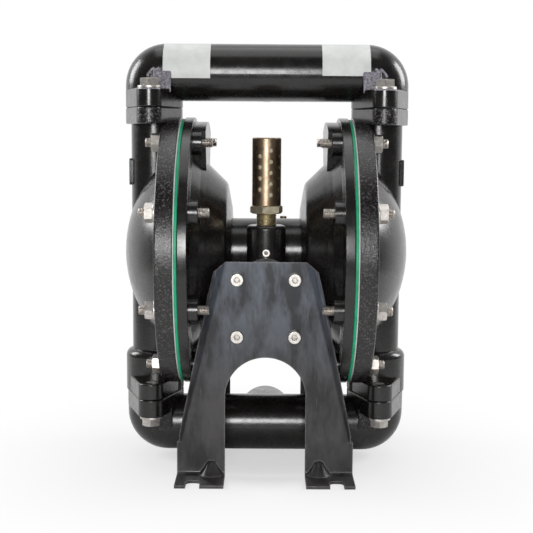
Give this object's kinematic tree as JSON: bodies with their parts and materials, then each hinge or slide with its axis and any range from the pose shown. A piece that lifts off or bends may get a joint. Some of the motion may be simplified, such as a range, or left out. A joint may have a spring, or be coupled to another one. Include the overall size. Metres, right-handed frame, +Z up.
{
  "type": "air operated diaphragm pump",
  "caption": "Air operated double diaphragm pump with round caps on either side, tube manifolds above and below, a ball valve at each end, an exhaust silencer and foot brackets.",
  "frame": {"origin": "on the floor under the centre of the pump, midway between both pairs of feet", "axes": "+X along the diaphragm rod, +Y towards the rear with the pipe ports, +Z up; the silencer side faces -Y"},
  "size_m": [0.302, 0.283, 0.4435],
  "materials": {
    "black_casting": "gloss",
    "bracket_coat": "satin",
    "zinc_steel": "zinc plated",
    "steel_rod": "ground",
    "plate_aluminium": "turned",
    "green_rubber": "smooth",
    "white_facing": "smooth",
    "seat_plastic": "satin",
    "ball_plastic": "polished",
    "black_seal": "smooth",
    "gasket_sheet": "matte",
    "bushing_plastic": "satin",
    "aged_brass": "tarnished",
    "porous_bronze": "porous"
  },
  "bodies": {
    "pump_body": {"outlet_manifold": "black_casting", "inlet_manifold": "black_casting", "centre_body": "black_casting", "main_valve_body": "black_casting", "pilot_valve_block": "black_casting", "main_valve_gasket": "gasket_sheet", "pilot_gasket": "gasket_sheet", "valve_end_plugs": "plate_aluminium", "valve_end_rings": "zinc_steel", "front_bracket": "bracket_coat", "rear_bracket": "bracket_coat", "front_bracket_screws": "zinc_steel", "rear_bracket_screws": "zinc_steel", "air_cap_screws": "zinc_steel", "exhaust_plug": "zinc_steel", "vent_plug": "aged_brass", "silencer_fitting": "aged_brass", "silencer_shell": "aged_brass", "silencer_sleeve": "porous_bronze", "outlet_flange_bolts": "zinc_steel", "inlet_flange_bolts": "zinc_steel", "outlet_flange_washers": "zinc_steel", "inlet_flange_washers": "zinc_steel", "outlet_seats": "seat_plastic", "inlet_seats": "seat_plastic", "outlet_seat_rings": "black_seal", "inlet_seat_rings": "black_seal", "rod_bushings": "bushing_plastic", "rod_seals": "black_seal", "pilot_bushings": "bushing_plastic", "fluid_cap_left": "black_casting", "air_cap_left": "black_casting", "clamp_studs_left": "zinc_steel", "clamp_nuts_left": "zinc_steel", "clamp_washers_left": "zinc_steel", "facing_diaphragm_left": "white_facing", "backup_diaphragm_left": "green_rubber", "fluid_cap_right": "black_casting", "air_cap_right": "black_casting", "clamp_studs_right": "zinc_steel", "clamp_nuts_right": "zinc_steel", "clamp_washers_right": "zinc_steel", "facing_diaphragm_right": "white_facing", "backup_diaphragm_right": "green_rubber"},
    "rod_assembly": {"diaphragm_rod": "steel_rod", "inner_plate_left": "plate_aluminium", "inner_plate_right": "plate_aluminium", "outer_plate_left": "plate_aluminium", "outer_plate_right": "plate_aluminium", "plate_screws": "zinc_steel"},
    "spool": {"valve_spool": "plate_aluminium"},
    "pilot": {"pilot_rod": "steel_rod"},
    "inlet_ball_l": {"inlet_ball_left": "ball_plastic"},
    "inlet_ball_r": {"inlet_ball_right": "ball_plastic"},
    "outlet_ball_l": {"outlet_ball_left": "ball_plastic"},
    "outlet_ball_r": {"outlet_ball_right": "ball_plastic"}
  },
  "joints": [
    {"name": "rod_stroke", "type": "slide", "parent": "pump_body", "child": "rod_assembly", "axis": [1, 0, 0], "range_m": [-0.018, 0.018], "deforming": ["backup_diaphragm_left", "backup_diaphragm_right", "facing_diaphragm_left", "facing_diaphragm_right"]},
    {"name": "pilot_shift", "type": "slide", "parent": "pump_body", "child": "pilot", "axis": [1, 0, 0], "range_m": [-0.006, 0.006]},
    {"name": "spool_shift", "type": "slide", "parent": "pump_body", "child": "spool", "axis": [1, 0, 0], "range_m": [-0.006, 0.006]},
    {"name": "inlet_ball_lift_l", "type": "slide", "parent": "pump_body", "child": "inlet_ball_l", "axis": [0, 0, 1], "range_m": [0, 0.01]},
    {"name": "inlet_ball_lift_r", "type": "slide", "parent": "pump_body", "child": "inlet_ball_r", "axis": [0, 0, 1], "range_m": [0, 0.01]},
    {"name": "outlet_ball_lift_l", "type": "slide", "parent": "pump_body", "child": "outlet_ball_l", "axis": [0, 0, 1], "range_m": [0, 0.01]},
    {"name": "outlet_ball_lift_r", "type": "slide", "parent": "pump_body", "child": "outlet_ball_r", "axis": [0, 0, 1], "range_m": [0, 0.01]}
  ],
  "couplings": [
    {"joint": "pilot_shift", "follows": "rod_stroke", "ratio": 0.3333}
  ]
}
